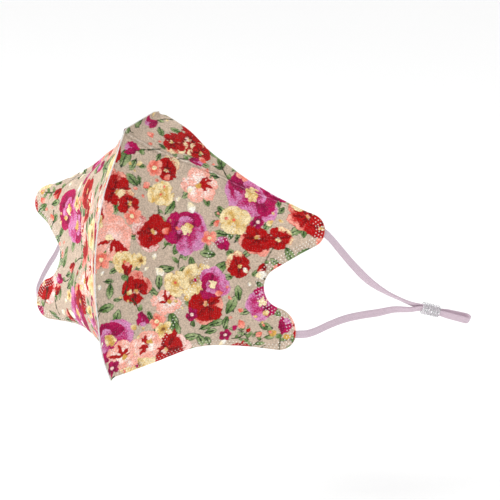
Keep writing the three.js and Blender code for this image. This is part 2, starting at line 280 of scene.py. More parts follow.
# Knit of the band: stitches lean to and fro in columns along it, and the dye is a little uneven.
# Painted shade darkens the low parts of the stitches and both edges of the band. The attribute
# "knit" holds the length along the band, the length round its section, and how near an edge is,
# from -1 to 1.
STITCH, COLUMN = 0.62, 0.74
# the darker and lighter yarn: its uneven dye, and painted shade in the stitches' hollows and at the edges
SHADED_DARK_YARN, LIT_LIGHT_YARN = (0.38, 0.27, 0.34, 1), (0.79, 0.64, 0.72, 1)
soft = {"Roughness": 0.8, "Sheen Weight": 0.35, "Sheen Roughness": 0.4}
elastic, tree, shader = node_material("knitted_elastic", soft)
knit = add_node(tree, "ShaderNodeAttribute", attribute_name="knit").outputs["Vector"]
parts = add_node(tree, "ShaderNodeSeparateXYZ", {"Vector": knit})
column = calculate("PINGPONG", calculate("DIVIDE", parts.outputs["Y"], COLUMN), 0.5)
lean = calculate("ADD", calculate("DIVIDE", parts.outputs["X"], STITCH), column)
stitch = calculate("PINGPONG", lean, 0.5)
loops = calculate("MULTIPLY", calculate("ADD", stitch, 0.2), calculate("ADD", column, 0.25))
height = calculate("ADD", calculate("MULTIPLY", loops, 2.2), noise(tree, knit, 2.2, 3.0))
# painted shade: both edges of the band darker
edge = calculate("POWER", calculate("ABSOLUTE", parts.outputs["Z"]), 4)
share = calculate("MULTIPLY_ADD", edge, -0.2, calculate("MULTIPLY_ADD", height, 0.9, -0.25))
tree.links.new(blend(tree, share, SHADED_DARK_YARN, LIT_LIGHT_YARN), shader.inputs["Base Color"])
add_bump(tree, shader, height, 0.5)

BAND_STEPS = 640
bands = {}  # the piece, centre line and length of each band
for loop in LOOPS:
    route, route_widths = band_rows(loop)
    line, width = smooth_line(route, BAND_STEPS, route_widths)
    total = np.linalg.norm(np.diff(line, axis=0), axis=1).sum()
    points = flat_band(line, width)
    count, columns = points.shape[:2]
    quads = grid_quads(count, columns, closed=True)
    ends = points[[0, -1]].mean(axis=1)
    all_points = np.vstack([points.reshape(-1, 3), ends]) * MM
    skin = count * columns  # the two poles come after the points of the skin
    caps = [fan(skin, 0, columns)[:, ::-1], fan(skin + 1, skin - columns, columns)]
    band = make_piece(f"{loop['side']}_band", all_points, quads, np.vstack(caps))
    across = np.r_[0, np.cumsum(np.linalg.norm(np.diff(points[0], axis=0), axis=1))]
    stitches = np.zeros((len(all_points), 3))
    stitches[:skin, 0] = np.repeat(np.linspace(0, total, count), columns)
    stitches[:skin, 1] = np.tile(across, count)
    stitches[:skin, 2] = np.tile(np.sin(round_circle(columns)), count)
    layer = band.data.attributes.new("knit", "FLOAT_VECTOR", "POINT")
    layer.data.foreach_set("vector", stitches.ravel())
    band.data.materials.append(elastic)
    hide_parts(f"{loop['side']}_ear_loop")
    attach(band, "root")
    bands[loop["side"]] = (band, line, total)


# --- Adjusters ---
# Soft clear silicone sleeves with six rounded ribs. Each grips the two layers of its band by
# friction and slides on them.
clear = {"Base Color": (0.97, 0.96, 0.98, 1), "Roughness": 0.22, "IOR": 1.41, "Transmission Weight": 0.72}
silicone, tree, shader = node_material("clear_silicone", clear)
place = add_node(tree, "ShaderNodeTexCoord").outputs["Object"]
add_bump(tree, shader, noise(tree, place, 900.0), 0.25)


def sleeve_rings(rings_along, columns):
    """Rings of points from one end to the other of a circle whose radius swells by the 0.75th power of
    a sine on each rib, in over the end, back through the slot and out again. The slot's sides are
    the cosine and the sine to the power 0.35."""
    along = np.linspace(-1, 1, rings_along) * ADJUSTER["length"] / 2
    rib = np.abs(np.sin((along / ADJUSTER["length"] + 0.5) * ADJUSTER["ribs"] * math.pi)) ** 0.75
    radius = ADJUSTER["radius"] - ADJUSTER["groove"] * (1 - rib)
    angle = round_circle(columns)
    circle = np.stack([np.cos(angle), np.sin(angle)], axis=-1)
    slot_x = BAND["gap"] / 2 + BAND["thick"] + ADJUSTER["side_play"]
    slot_y = BAND["width"] / 2 + ADJUSTER["end_play"]
    slot = signed_power(circle, 0.35) * (slot_x, slot_y)
    shell = circle[None] * radius[:, None, None]

    def ring(outside, share, z):
        """A ring at the height z, the share of the way from the outside to the slot."""
        return np.column_stack([outside * (1 - share) + slot * share, np.full(columns, z)])

    over_the_end = (0.35, 0.7, 1.0)
    rings = [ring(outside, 0, z) for outside, z in zip(shell, along)]
    rings += [ring(shell[-1], share, along[-1]) for share in over_the_end]
    rings += [ring(slot, 1, z) for z in along[::-6][1:-1]]
    rings += [ring(shell[0], share, along[0]) for share in over_the_end[::-1]]
    return np.array(rings)


body = sleeve_rings(121, 64)
rows, columns = body.shape[:2]
quads = grid_quads(rows + 1, columns, closed=True) % (rows * columns)  # the last ring joins the first
for loop in LOOPS:
    at, axis, width, across = adjuster_frame(loop)
    points = at + body[..., :1] * across + body[..., 1:2] * width + body[..., 2:] * axis
    sleeve = make_piece(f"{loop['side']}_sleeve", points.reshape(-1, 3) * MM, quads)
    sleeve.data.materials.append(silicone)
    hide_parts(f"{loop['side']}_adjuster")
    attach(sleeve, "root")
    band, line, total = bands[loop["side"]]


# --- Panels ---
# Each half of the mask is two plies of nonwoven: a printed outer ply and a plain white one inside.
# The plies are folded along a crease below the top edge. The halves are welded together along a
# flange in front, and each has an upper and a lower ear lobe with a round notch between them.
WALL = 1.0
GAP = 0.3  # between the two halves
FLANGE = 3.0
FLANGE_END, FLANGE_TAPER = 0.6, 6.0  # share of its width at the nose, and the run over which it shrinks
CREASE_STRIP = 5.0  # height of the strip above the crease where it meets the rear edge
BULGE = 4.0
BULGE_WAY = np.array([0.72, -0.69, 0])  # outwards and forwards
PLY_OUT = 0.4  # outer face of the pressed flange, from the mirror plane
PARTING = 9.0  # run behind the flange over which the halves part
FOLD_REACH, ROUNDING = 2.5, 14  # how far from its column the seam's fold is rounded, and how often
ALONG, SIDE, FACET, FLANGE_COLUMNS = 232, 340, 56, 8  # steps of the grids
REAR_STEPS = 4000  # fine steps from which the rear edge's are picked
# Height and length of each kind of unevenness of the cloth.
SWELL, CRINKLE, GRAIN, RIB = (0.45, 24), (0.16, 4.5), (0.03, 3.0), (0.18, 0.7)
# The seam's fold and the upper end of the nose, in the mirror plane, back and up.
SEAM = [(-27.5, -70), (-36, -54), (-40, -36), (-43, -12), (-40.5, 12), (-32.5, 34), (-20, 51), (-10, 65)]
NOSE = (26.5, 70)
# Rows of the rear edge are out, back, up and the radius of the corner; those below are points on
# the way from the seam to the rear edge.
REAR = [
    (74, 27.2, -58, 0),
    (88.5, 29, -59, 11),
    (82.5, 30.5, -36.5, 13),
    (53, 17.5, -25, 12),
    (83.5, 41, -4, 20),
    (109, 48, 11, 9.5),
    (83, 47.5, 18, 0),
]
BOTTOM_EDGE = [(14, -6, -65), (35, 7.5, -56.5), (54, 20.8, -56.7)]
CREASE = [(12, 0, 55.5), (30, 19, 44), (54, 36.5, 28.5)]
TOP_EDGE = [(4.5, 28, 69.5), (17, 30.5, 61.5), (35, 35, 45.5), (63, 42.5, 27.5)]


def rounded_line(corners):
    """Straight runs between the corners, each corner cut off by a cubic Bezier arc of its radius."""
    points = np.array([row[:3] for row in corners], float)
    line = [points[:1]]
    t = np.linspace(0, 1, 41)[:, None]
    for k in range(1, len(points) - 1):
        before, after = unit(points[k - 1] - points[k]), unit(points[k + 1] - points[k])
        turn = math.pi - math.acos(before @ after)
        cut = min(corners[k][3] * math.tan(turn / 2), math.dist(points[k - 1], points[k]))
        handle = 4 / 3 * math.tan(turn / 4) * corners[k][3]
        start, end = points[k] + before * cut, points[k] + after * cut
        out, back_in = start - before * handle, end - after * handle
        first_half = (1 - t) ** 3 * start + 3 * (1 - t) ** 2 * t * out
        line.append(first_half + 3 * (1 - t) * t**2 * back_in + t**3 * end)
    line.append(points[-1:])
    return np.vstack(line)


def coons_patch(low, high, left, right):
    """Surface between four edges: the two blends across, added, less the blend of the corners."""
    u = np.linspace(0, 1, len(low))[None, :, None]
    v = np.linspace(0, 1, len(left))[:, None, None]
    corners = (1 - u) * (1 - v) * low[0] + u * (1 - v) * low[-1] + (1 - u) * v * high[0] + u * v * high[-1]
    return (1 - v) * low + v * high + (1 - u) * left[:, None] + u * right[:, None] - corners


def panel_face(along, side, facet):
    """Outer face of the left panel as a grid of points, from the bottom edge up the side, over the
    crease and on to the top edge; columns run from the seam's fold to the rear. The side bulges by a
    product of parabolas that is nought on its edges."""
    first = GAP / 2 + WALL
    seam = smooth_line([(first, y, z) for y, z in SEAM], side)
    nose = np.array([first, *NOSE])
    rear = even_steps(rounded_line(REAR), REAR_STEPS)
    length = np.linalg.norm(np.diff(rear, axis=0), axis=1).sum()
    split = round((1 - CREASE_STRIP / length) * REAR_STEPS)
    side_rear, facet_rear = even_steps(rear[: split + 1], side), even_steps(rear[split:], facet)
    bottom = smooth_line([seam[0], *BOTTOM_EDGE, side_rear[0]], along)
    crease = smooth_line([seam[-1], *CREASE, facet_rear[0]], along)
    top = smooth_line([nose, *TOP_EDGE, facet_rear[-1]], along)
    ridge = even_steps(np.array([seam[-1], nose]), facet)
    body = coons_patch(bottom, crease, seam, side_rear)
    u = np.linspace(0, 1, along + 1)[None, :, None]
    v = np.linspace(0, 1, side + 1)[:, None, None]
    body = body + BULGE_WAY * BULGE * 16 * u * (1 - u) * v * (1 - v)
    return np.vstack([body, coons_patch(crease, top, ridge, facet_rear)[1:]])


def smooth_step(x):
    """Nought below 0, one above 1, and 3x^2 - 2x^3 between."""
    x = np.clip(x, 0, 1)
    return x * x * (3 - 2 * x)


def face_normals(face):
    """Unit normals of a grid of points: the cross product of its two directions of travel, or the mean
    of all where those directions nearly agree, averaged with the neighbours six times along each
    direction in turn."""
    along, up = np.gradient(face, axis=1), np.gradient(face, axis=0)
    normals = np.cross(along, up)
    sizes = [np.linalg.norm(v, axis=2) for v in (normals, along, up)]
    share = smooth_step((sizes[0] / (sizes[1] * sizes[2]) - 0.15) / 0.35)[..., None]
    normals = unit(normals) * share + unit(normals.reshape(-1, 3).mean(axis=0)) * (1 - share)
    for _ in range(2 * 6):
        wide = np.concatenate([normals[:1], normals, normals[-1:]])
        normals = np.swapaxes((wide[:-2] + 2 * wide[1:-1] + wide[2:]) / 4, 0, 1)
    return unit(normals)


def flange_face(fold, columns):
    """Grid from the cut edge to the fold line: each row runs straight out, square to the fold in the
    mirror plane, by the flange's width, which shrinks to a share of itself at the nose."""
    run = np.diff(fold[:, 1:], axis=0)
    outward = unit(np.stack([-run[:, 1], run[:, 0]], axis=-1))
    before, after = np.vstack([outward[:1], outward]), np.vstack([outward, outward[-1:]])
    middle = unit(before + after)
    to_end = np.linalg.norm(fold - fold[-1], axis=1)
    taper = FLANGE_END + (1 - FLANGE_END) * smooth_step(to_end / FLANGE_TAPER)
    reach = FLANGE / np.sum(middle * after, axis=1) * taper
    shift = np.column_stack([np.zeros(len(fold)), middle * reach[:, None]])
    share = np.linspace(1, 0, columns, endpoint=False)[None, :, None]
    return fold[:, None] + shift[:, None] * share


def clouds(x, y, size, waves, random):
    """Sum of sine waves in random directions, with wavelengths round `size` and a spread near 1."""
    turn = random.uniform(0, 2 * math.pi, waves)
    long = 1.7 * size * random.uniform(0.7, 1.6, waves)
    phase = random.uniform(0, 2 * math.pi, waves)
    total = np.zeros(np.shape(x))
    for way, wave, start in zip(turn, long, phase):
        total += np.sin((x * math.cos(way) + y * math.sin(way)) * 2 * math.pi / wave + start)
    return total / math.sqrt(waves / 2)


def distances(grid):
    """For each point: how far it is along its row from the first column, and from the last."""
    run = np.linalg.norm(np.diff(grid, axis=1), axis=2).cumsum(axis=1)
    from_first = np.concatenate([np.zeros((len(grid), 1)), run], axis=1)
    return from_first, from_first[:, -1:] - from_first


def pressed_seam(outer):
    """The halves lie flat on each other at the flange and part over a few millimetres behind it.
    The fold is rounded by averaging neighbours, ROUNDING times, near its column."""
    from_cut = distances(outer)[0]
    past = from_cut - from_cut[:, FLANGE_COLUMNS : FLANGE_COLUMNS + 1]
    pressed = outer.copy()
    pressed[..., 0] -= (GAP / 2 + WALL - PLY_OUT) * (1 - smooth_step(past / PARTING))
    near = np.clip(1 - np.abs(past) / FOLD_REACH, 0, 1)[:, 1:-1, None] * 0.5
    for _ in range(ROUNDING):
        pressed[:, 1:-1] += near * (pressed[:, :-2] + pressed[:, 2:] - 2 * pressed[:, 1:-1])
    return pressed


plain = panel_face(ALONG, SIDE, FACET)
sheet_face = pressed_seam(np.concatenate([flange_face(plain[:, 0], FLANGE_COLUMNS), plain], axis=1))


def laid_flat(face):
    """Flat coordinates of the outer ply, and the plane of its side: the side is seen square on, the
    strip above the crease is turned flat about it, and the flange runs straight on past its fold."""
    body = face[:, FLANGE_COLUMNS:]

    def own_plane(part):
        """The level and the rising direction in the plane that is square to the mean normal."""
        normal = unit(face_normals(part).reshape(-1, 3).mean(axis=0))
        tall = unit(np.array([0, 0, 1.0]) - normal * normal[2])
        return np.stack([np.cross(tall, normal), tall])

    side_part, strip = body[: SIDE + 1], body[SIDE:]
    side_plane = own_plane(side_part)
    side_flat = side_part @ side_plane.T
    strip_axes = own_plane(strip)
    crease_there = (strip[0, -1] - strip[0, 0]) @ strip_axes.T
    crease_here = side_flat[-1, -1] - side_flat[-1, 0]
    turn = math.atan2(crease_here[1], crease_here[0]) - math.atan2(crease_there[1], crease_there[0])
    turned = np.array([[math.cos(turn), -math.sin(turn)], [math.sin(turn), math.cos(turn)]])
    strip_flat = side_flat[-1] + ((strip - strip[0]) @ strip_axes.T) @ turned.T
    flat = np.concatenate([side_flat, strip_flat[1:]])
    away = np.linspace(FLANGE, 0, FLANGE_COLUMNS, endpoint=False)[None, :, None]
    return np.concatenate([flat[:, :1] - away * np.array([1.0, 0]), flat], axis=1), side_plane


flat_places, side_axes = laid_flat(sheet_face)


def relief(seed):
    """Height of the cloth's own unevenness, which fades towards the borders: wide swells away from
    the crease, crinkles that fade from it by a bell curve, a fine grain all over, and a raised rib
    on the crease, itself such a curve."""
    random = np.random.default_rng(seed)
    border = smooth_step(np.minimum(np.minimum(to_cut - FLANGE, to_rear), to_bottom) / 9)
    swell = SWELL[0] * clouds(flat_x, flat_y, SWELL[1], 6, random) * border * smooth_step(to_crease / 10)
    crinkle = CRINKLE[0] * clouds(flat_x, flat_y, CRINKLE[1], 9, random) * np.exp(-((to_crease / 7) ** 2))
    crinkle += GRAIN[0] * clouds(flat_x, flat_y, GRAIN[1], 9, random)
    rib = RIB[0] * np.exp(-((to_crease / RIB[1]) ** 2)) * smooth_step((to_cut - FLANGE) / 4)
    crinkle = crinkle * smooth_step(to_cut / 6) * smooth_step(to_top / 1.5) * smooth_step(to_rear / 3)
    return swell + (crinkle + rib)


to_cut, to_rear = distances(sheet_face)
to_bottom, to_top = (d.T for d in distances(np.swapaxes(sheet_face, 0, 1)))
to_crease = np.abs(to_bottom - to_bottom[SIDE])
normals = face_normals(sheet_face)
flat_x, flat_y = np.moveaxis(flat_places, -1, 0)
heights = relief(5)
outer = sheet_face + normals * heights[..., None]

# The print is a loose watercolour garden: blooms, poppies, peonies, roses, tulips, daisies, sprigs
# and leaves crowded on a beige ground, painted point by point on the panel laid flat. Dyes are
# given as they look on a screen, 0 to 255.
DYES = {
    "ground": (191, 171, 152),
    "red": (168, 12, 14),
    "deep red": (100, 6, 12),
    "magenta": (172, 16, 80),
    "deep magenta": (112, 8, 54),
    "lilac": (208, 140, 182),
    "coral": (222, 94, 78),
    "light coral": (238, 160, 142),
    "blush": (240, 206, 196),
    "cream": (238, 218, 172),
    "ochre": (202, 156, 78),
    "brown": (128, 88, 48),
    "green": (80, 110, 56),
    "dark green": (20, 38, 24),
    "sage": (156, 168, 122),
    "olive": (48, 54, 32),
    "white": (242, 238, 230),
}
DYES = {name: np.array(value) / 255 for name, value in DYES.items()}
RAGGED = 0.55  # how far the edges of petals wander, as a share of each motif's own raggedness


def beside(x, y, way, reach):
    """The place that lies so far from another in a direction."""
    return x + math.cos(way) * reach, y + math.sin(way) * reach


class Print:
    """Dyes on scattered points: every motif lays its colours over those already there."""

    def __init__(self, x, y, seed):
        self.x, self.y = x, y
        self.paint = np.tile(DYES["ground"], (len(x), 1))
        self.random = np.random.default_rng(seed)
        self.grain = self.random.normal(0, 1, len(x))
        self.broad = clouds(x, y, 3.6, 9, self.random)
        self.edge = clouds(x, y, 1.5, 11, self.random)

    def near(self, cx, cy, reach):
        """Numbers of the points in a square round a place that reaches so far each way."""
        return np.flatnonzero((np.abs(self.x - cx) < reach) & (np.abs(self.y - cy) < reach))

    def lay(self, k, colour, inside, soft=0.2):
        """Covers the points k by half on a motif's edge, and wholly from half of `soft` inside it."""
        cover = np.clip(inside / soft + 0.5, 0, 1)[:, None]
        self.paint[k] += (colour - self.paint[k]) * cover

    def petal(
        self, cx, cy, long, wide, turn, heel, tip, rim=None, rag=0.4, full=1.5, stipple=0.16, rim_mm=0.4
    ):
        """A petal or leaf from its heel outwards: at the share a of its length its half width is that
        of its widest place times sin(pi * a ** full) ** 0.7. It is ragged at the edge, shaded from
        heel to tip with a grainy blend, and has a thin broken rim, which is a darker tip colour
        where no other is given."""
        k = self.near(cx, cy, long * 1.1 + 1)
        dx, dy = self.x[k] - cx, self.y[k] - cy
        a = (dx * math.cos(turn) + dy * math.sin(turn)) / long
        b = dy * math.cos(turn) - dx * math.sin(turn)
        half = np.sin(math.pi * np.clip(a, 0, 1) ** full) ** 0.7 * wide / 2
        inside = half - np.abs(b) + RAGGED * rag * self.edge[k]
        inside = np.where((a > 0) & (a < 1), inside, -1)
        share = smooth_step(a * 1.2 - 0.1 + self.broad[k] * 0.16 + self.grain[k] * stipple)[:, None]
        colour = heel + (tip - heel) * share
        rim = tip * 0.72 if rim is None else rim
        dark = np.clip((rim_mm - inside) / 0.35, 0, 1) * np.clip(0.6 + 0.3 * self.broad[k], 0, 1)
        colour += (rim - colour) * dark[:, None]
        self.lay(k, colour, inside)

    def spot(self, cx, cy, radius, colour, rag=0.15, other=None):
        """A round blob with a ragged edge, speckled with another colour if one is given."""
        k = self.near(cx, cy, radius + 1.2)
        inside = radius - np.hypot(self.x[k] - cx, self.y[k] - cy) + rag * self.edge[k]
        if other is not None:
            share = smooth_step(0.5 + 0.5 * self.broad[k] + 0.3 * self.grain[k])[:, None]
            colour = colour + (other - colour) * share
        self.lay(k, colour, inside)

    def stroke(self, points, width, colour):
        """A line of paint: everything within half the width of the nearest stretch of the line."""
        p = np.asarray(points, float)
        middle = p.mean(axis=0)
        k = self.near(*middle, np.abs(p - middle).max() + width + 1)
        q = np.stack([self.x[k], self.y[k]], axis=-1)
        apart = np.full(len(k), 1e9)
        for a, b in zip(p, p[1:]):
            s = np.clip((q - a) @ (b - a) / max((b - a) @ (b - a), 1e-9), 0, 1)
            apart = np.minimum(apart, np.linalg.norm(q - a - s[:, None] * (b - a), axis=1))
        self.lay(k, colour, width / 2 - apart + 0.1 * self.edge[k], 0.25)

    def leaflet(self, x, y, long, wide, turn, rag):
        """A small leaf, green at its heel, sage at its tip and dark at its edge."""
        self.petal(x, y, long, wide, turn, DYES["green"], DYES["sage"], DYES["dark green"], rag, 0.9)

    def whorl(
        self, cx, cy, count, long, wide, turn, heel, tip, rim=None, spread=2 * math.pi, jitter=0.2, **more
    ):
        """Petals round a heart over an arc of directions, each a little off in size and turn."""
        for j in range(count):
            off = self.random.uniform(-jitter, jitter, 3)
            way = turn + spread * j / count + off[0]
            self.petal(cx, cy, long * (1 + off[1]), wide * (1 + off[2]), way, heel, tip, rim, **more)

    def bloom(self, x, y, r, turn, light, main, deep, heart):
        """Pale petals on one side, saturated ones on the other, and a speckled heart off its middle."""
        hx, hy = beside(x, y, turn, r * -0.15)
        self.whorl(hx, hy, 4, r * 1.1, r, turn - 1.1, main, light, spread=2.9, stipple=0.25)
        self.whorl(hx, hy, 4, r, r * 0.95, turn + 1.5, deep, main, spread=3.4, full=1.8, rag=0.55)
        self.whorl(hx, hy, 3, r * 0.6, r * 0.5, turn + 2.0, main, light, spread=2.6, full=1.3, stipple=0.3)
        self.spot(hx, hy, r * 0.26, heart, 0.4, DYES["cream"])
        self.dots(hx, hy, r * 0.3, 7, deep)

    def dots(self, x, y, reach, count, colour):
        """Small spots evenly round a circle."""
        for way in round_circle(count):
            self.spot(*beside(x, y, way, reach), 0.3, colour, 0.05)

    def poppy(self, x, y, r, turn, main, deep, heart):
        """Flat broad petals that run into each other, darker where they meet, over a pale fringe on
        one side, with a small torn heart."""
        self.whorl(x, y, 3, r * 1.15, r, turn + 2.6, main, heart, main, spread=2.4, full=1.6, rag=0.5)
        self.whorl(x, y, 5, r * 0.92, r, turn, main, main, deep, jitter=0.3, full=1.7, rag=0.7, rim_mm=0.5)
        self.whorl(x, y, 5, r * 0.85, r * 0.26, turn + 0.6, deep, main, jitter=0.3, rag=0.4)
        self.whorl(x, y, 2, r * 0.3, r * 0.22, turn + 0.2, DYES["ochre"], heart, spread=2, full=0.9, rag=0.4)

    def rose(self, x, y, r, turn, light, main, deep, heart):
        """Cupped petals in three turns, each light with a darker lip, closing on a small heart."""
        self.whorl(x, y, 5, r, r * 1.05, turn, main, light, deep, full=1.8, rag=0.5, rim_mm=0.6)
        self.whorl(x, y, 4, r * 0.7, r * 0.85, turn + 0.7, main, light, main, full=1.8, rim_mm=0.5)
        self.whorl(x, y, 3, r * 0.42, r * 0.5, turn + 1.5, deep, light, main, full=1.5)
        self.spot(x, y, r * 0.1, heart, 0.1)

    def peony(self, x, y, r, turn, light, main, deep, heart):
        """A ball of petals that are palest near the middle, and dark slashes where they part."""
        self.whorl(x, y, 6, r, r * 0.9, turn, light, main, main, full=1.7, rag=0.6, stipple=0.3)
        self.whorl(x, y, 4, r * 0.68, r * 0.7, turn + 0.5, light, main, full=1.6, stipple=0.3)
        self.whorl(x, y, 4, r * 0.85, r * 0.2, turn + 0.9, deep, deep, spread=2.8, jitter=0.35, full=0.9)
        self.spot(*beside(x, y, turn, r * 0.2), r * 0.16, heart, 0.3)

    def daisy(self, x, y, r, turn, light, main, heart):
        """Five plain petals round a small heart."""
        self.whorl(x, y, 5, r, r * 0.75, turn, main, light, main, full=1.3, rag=0.3, rim_mm=0.3)
        self.spot(x, y, r * 0.24, heart, 0.1)

    def leaf(self, x, y, long, turn):
        """A leaf half as wide as long, green or sage at its heel, with a dark rim and middle vein."""
        green, sage, dark = DYES["green"], DYES["sage"], DYES["dark green"]
        heel, tip = (green, sage) if self.random.uniform() < 0.6 else (sage, green)
        self.petal(x, y, long, long * 0.5, turn, heel, tip, dark, 0.2, 1.1, 0.22, 0.5)
        self.stroke([(x, y), beside(x, y, turn, long * 0.75)], 0.55, dark)

    def tulip(self, x, y, long, turn, light, main, deep):
        """A closed flower seen from the side on a bent stem: two outer petals over a pale middle."""
        way = np.linspace(0, 1, 8)
        bend = self.random.uniform(-0.5, 0.5)
        stem = np.stack([-np.cos(turn + bend * way) * way, -np.sin(turn + bend * way) * way], axis=-1)
        self.stroke(stem * long * 1.4 + (x, y), 0.65, DYES["olive"])
        self.petal(x, y, long, long * 0.7, turn, main, light, None, 0.4, 1.2, 0.3)
        self.petal(x, y, long * 1.05, long * 0.36, turn + 0.32, deep, main, None, 0.4, 1.1, 0.2)
        self.petal(x, y, long * 0.9, long * 0.3, turn - 0.36, main, main, deep, 0.4, 1.1)
        self.leaflet(x, y, long * 0.4, long * 0.3, turn + 2.4, 0.2)

    def sprig(self, x, y, long, turn, tip):
        """A thin bent twig with small leaves on alternate sides and a bud at its end."""
        way = np.linspace(0, 1, 12)
        bend = self.random.uniform(-0.8, 0.8)
        bent = np.stack([np.cos(turn + bend * way), np.sin(turn + bend * way)], axis=-1)
        line = bent * way[:, None] * long + (x, y)
        self.stroke(line, 0.55, DYES["olive"])
        for k in range(2, 11, 2):
            lean = turn + bend * way[k] + (0.9 if k % 4 else -0.9)
            self.leaflet(*line[k], long * 0.32, long * 0.15, lean, 0.15)
        self.spot(*line[-1], long * 0.11, tip, 0.2)

    def scrap(self, x, y, r, turn, light, main):
        """Loose petals lying apart, such as fallen blossom."""
        for off, size in ((0.0, 1.0), (2.1, 0.6), (4.4, 0.45)):
            way, long = turn + off, r * size
            self.petal(*beside(x, y, way, r * 0.4), long, long * 0.7, way, main, light, None, 0.3, 1.2)


# Motifs in the order in which they find a place: name, radius in millimetres, how many, dyes.
MOTIFS = [
    ("bloom", 13.5, 3, ("lilac", "magenta", "deep magenta", "ochre")),
    ("poppy", 11.0, 5, ("red", "deep red", "blush")),
    ("peony", 11.5, 3, ("blush", "light coral", "red", "cream")),
    ("rose", 10.0, 2, ("cream", "ochre", "brown", "magenta")),
    ("poppy", 8.5, 8, ("red", "deep red", "light coral")),
    ("bloom", 9.0, 3, ("lilac", "magenta", "deep magenta", "cream")),
    ("peony", 8.5, 7, ("white", "light coral", "red", "ochre")),
    ("tulip", 9.5, 10, ("lilac", "magenta", "deep magenta")),
    ("rose", 7.5, 7, ("cream", "ochre", "ochre", "coral")),
    ("poppy", 6.5, 10, ("red", "deep red", "cream")),
    ("tulip", 7.5, 8, ("light coral", "red", "deep red")),
    ("daisy", 5.0, 10, ("light coral", "coral", "cream")),
    ("daisy", 4.6, 9, ("cream", "ochre", "brown")),
    ("daisy", 4.2, 8, ("magenta", "deep magenta", "blush")),
    ("scrap", 6.5, 10, ("white", "cream")),
    ("scrap", 5.0, 12, ("light coral", "coral")),
    ("scrap", 4.5, 12, ("cream", "ochre")),
]
CROWDING = 0.53  # how near two motifs may come, as a share of their radii
# Leaves and sprigs between the flowers: how many, their own room and crowding, and the share of leaves.
GREENS = {"count": 70, "room": 2.5, "crowding": 0.85, "leaves": 0.72}


def garden(x, y, seed):
    """Throws the motifs at random places in their order, each where it keeps clear of the others,
    fills up with greenery, and paints leaves and sprigs under the flowers."""
    p = Print(x, y, seed)
    random = np.random.default_rng(seed + 100)
    low, high = np.array([x.min(), y.min()]) - 3, np.array([x.max(), y.max()]) + 3
    placed = []

    def place(radius, tries, crowding):
        """A random place that is clear of all the others, or none after so many tries."""
        for _ in range(tries):
            spot = random.uniform(low, high)
            if all(math.dist(spot, o[0]) > (radius + o[1]) * crowding for o in placed):
                placed.append((spot, radius))
                return spot

    flowers = []
    for kind, radius, count, dyes in MOTIFS:
        for size in radius * random.uniform(0.85, 1.15, count):
            spot = place(size, 500, CROWDING)
            if spot is not None:
                turn = random.uniform(0, 2 * math.pi)
                flowers.append((kind, spot, size, turn, [DYES[name] for name in dyes]))
    for kind, (fx, fy), size, turn, dyes in flowers:
        for way in turn + random.uniform(0, 2 * math.pi, 1 + (size > 8)):
            lean = way + random.uniform(-0.5, 0.5)
            p.leaf(*beside(fx, fy, way, size * 0.6), size * 0.5 + 3, lean)
    for _ in range(GREENS["count"]):
        spot = place(GREENS["room"], 80, GREENS["crowding"])
        if spot is None:
            continue
        turn, long = random.uniform(0, 2 * math.pi), random.uniform(7, 12)
        heel = beside(*spot, turn, -long / 2)
        if random.uniform() < GREENS["leaves"]:
            p.leaf(*heel, long, turn)
        else:
            p.sprig(*heel, long * 1.4, turn, DYES[("magenta", "red", "ochre")[random.integers(3)]])
    for kind, spot, size, turn, dyes in flowers:
        getattr(p, kind)(*spot, size, turn, *dyes)
    return p.paint


CREASE_WEAR_AND_HIGHLIGHT, RIM_RUB = 0.45, 0.3  # half widths of the pale lines: the crease's, worn and a painted highlight; the rim's, rubbed


def wear_and_painted_light(paint, seed):
    """The print rubbed towards pale by a bell curve of the distance: unevenly on the crease's rib, as worn
    fibre and a painted highlight on the ridge, and in a hair's breadth of the rim; a painted shadow
    darkens a faint line beside the rib."""
    uneven = clouds(flat_x, flat_y, 2.0, 9, np.random.default_rng(seed))
    to_rim = np.min([to_cut, to_rear, to_bottom, to_top], axis=0)
    # the crease: worn fibre and a painted highlight on the ridge; the rim: rubbed raw edge
    rub_and_highlight = np.exp(-((to_crease / CREASE_WEAR_AND_HIGHLIGHT) ** 2)) * np.clip(0.3 + 0.12 * uneven, 0, 1)
    rub_and_highlight = np.maximum(rub_and_highlight, 0.6 * np.exp(-((to_rim / RIM_RUB) ** 2))).reshape(-1, 1)
    # painted shadow: a faint dark line beside the crease's rib
    shade = 1 - 0.12 * np.exp(-(((to_crease - 1.4) / 0.7) ** 2)).reshape(-1, 1)
    return (paint + (DYES["white"] - paint) * rub_and_highlight) * shade


BOND = 0.00085  # pitch in metres of the points that bond the fibres of the nonwoven
UNDYED, BONDED = (0.84, 0.83, 0.81, 1), (0.9, 0.87, 0.84, 1)


